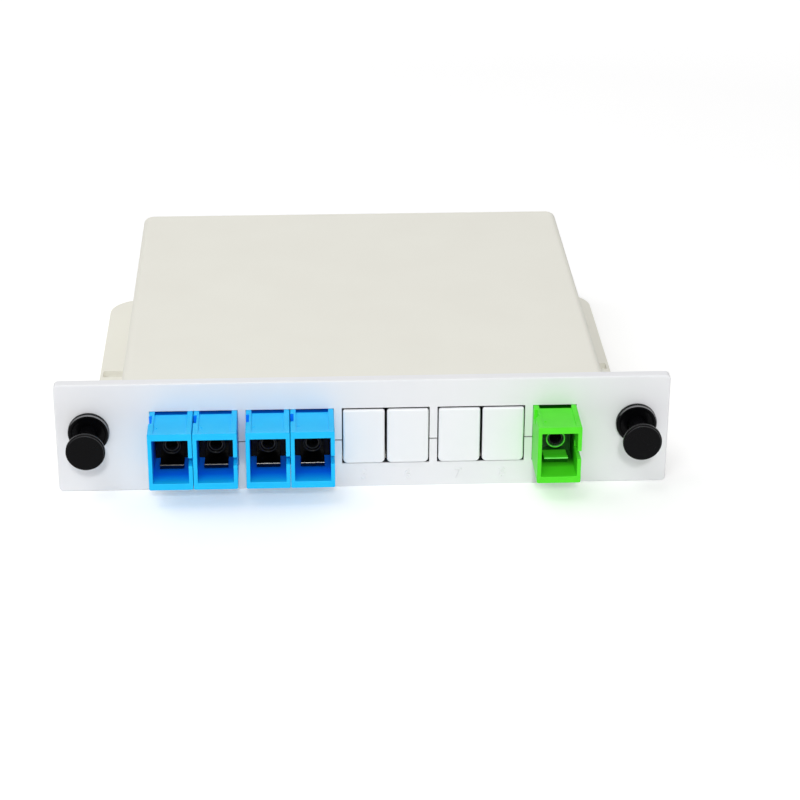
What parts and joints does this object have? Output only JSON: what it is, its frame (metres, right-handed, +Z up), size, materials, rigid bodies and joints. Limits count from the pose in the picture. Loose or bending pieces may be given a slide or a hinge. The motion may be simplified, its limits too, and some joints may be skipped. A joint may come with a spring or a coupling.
{
  "type": "plc fibre splitter cassette",
  "caption": "Plug-in white plastic cassette that splits one optical fibre into several; front panel with keyed SC adapters, blanking plugs and push latches.",
  "frame": {"origin": "middle of the underside, in the plane of the panel's rear face, which seats against the chassis", "axes": "+X right along the panel, +Y into the chassis, +Z up"},
  "size_m": [0.13, 0.111, 0.025],
  "materials": {
    "case_white": "moulded ABS, fine matte",
    "blank_white": "moulded ABS, satin",
    "adapter_blue": "moulded PBT, satin blue",
    "adapter_green": "moulded PBT, satin green",
    "holder_black": "moulded PBT, black",
    "holder_green": "moulded PBT, green",
    "zirconia": "ground zirconia ceramic",
    "plug_blue": "moulded PBT, blue",
    "plug_green": "moulded PBT, green",
    "boot_rubber": "moulded elastomer, white",
    "module_steel": "drawn stainless tube",
    "screw_steel": "zinc-plated steel",
    "fibre_jacket": "extruded 0.9 mm loose tube, white",
    "latch_nylon": "moulded nylon, black"
  },
  "bodies": {
    "root": {"upper_case": "case_white", "bottom_cover": "case_white", "cover_screw_1": "screw_steel", "cover_screw_2": "screw_steel", "cover_screw_3": "screw_steel", "cover_screw_4": "screw_steel", "blank_5": "blank_white", "blank_6": "blank_white", "blank_7": "blank_white", "blank_8": "blank_white", "adapter_1": "adapter_blue", "front_holder_1": "holder_black", "rear_holder_1": "holder_black", "sleeve_1": "zirconia", "plug_1": "plug_blue", "ferrule_1": "zirconia", "boot_1": "boot_rubber", "adapter_2": "adapter_blue", "front_holder_2": "holder_black", "rear_holder_2": "holder_black", "sleeve_2": "zirconia", "plug_2": "plug_blue", "ferrule_2": "zirconia", "boot_2": "boot_rubber", "adapter_3": "adapter_blue", "front_holder_3": "holder_black", "rear_holder_3": "holder_black", "sleeve_3": "zirconia", "plug_3": "plug_blue", "ferrule_3": "zirconia", "boot_3": "boot_rubber", "adapter_4": "adapter_blue", "front_holder_4": "holder_black", "rear_holder_4": "holder_black", "sleeve_4": "zirconia", "plug_4": "plug_blue", "ferrule_4": "zirconia", "boot_4": "boot_rubber", "adapter_in": "adapter_green", "front_holder_in": "holder_green", "rear_holder_in": "holder_green", "sleeve_in": "zirconia", "plug_in": "plug_green", "ferrule_in": "zirconia", "boot_in": "boot_rubber", "splitter_module": "module_steel", "fibre_1": "fibre_jacket", "fibre_2": "fibre_jacket", "fibre_3": "fibre_jacket", "fibre_4": "fibre_jacket", "fibre_in": "fibre_jacket", "latch_grommet_left": "latch_nylon", "latch_grommet_right": "latch_nylon"},
    "left_plunger": {"latch_plunger_left": "latch_nylon"},
    "right_plunger": {"latch_plunger_right": "latch_nylon"}
  },
  "joints": [
    {"name": "left_latch_push", "type": "slide", "parent": "root", "child": "left_plunger", "axis": [0, 1, 0], "range_m": [0, 0.0078]},
    {"name": "right_latch_push", "type": "slide", "parent": "root", "child": "right_plunger", "axis": [0, 1, 0], "range_m": [0, 0.0078]}
  ]
}
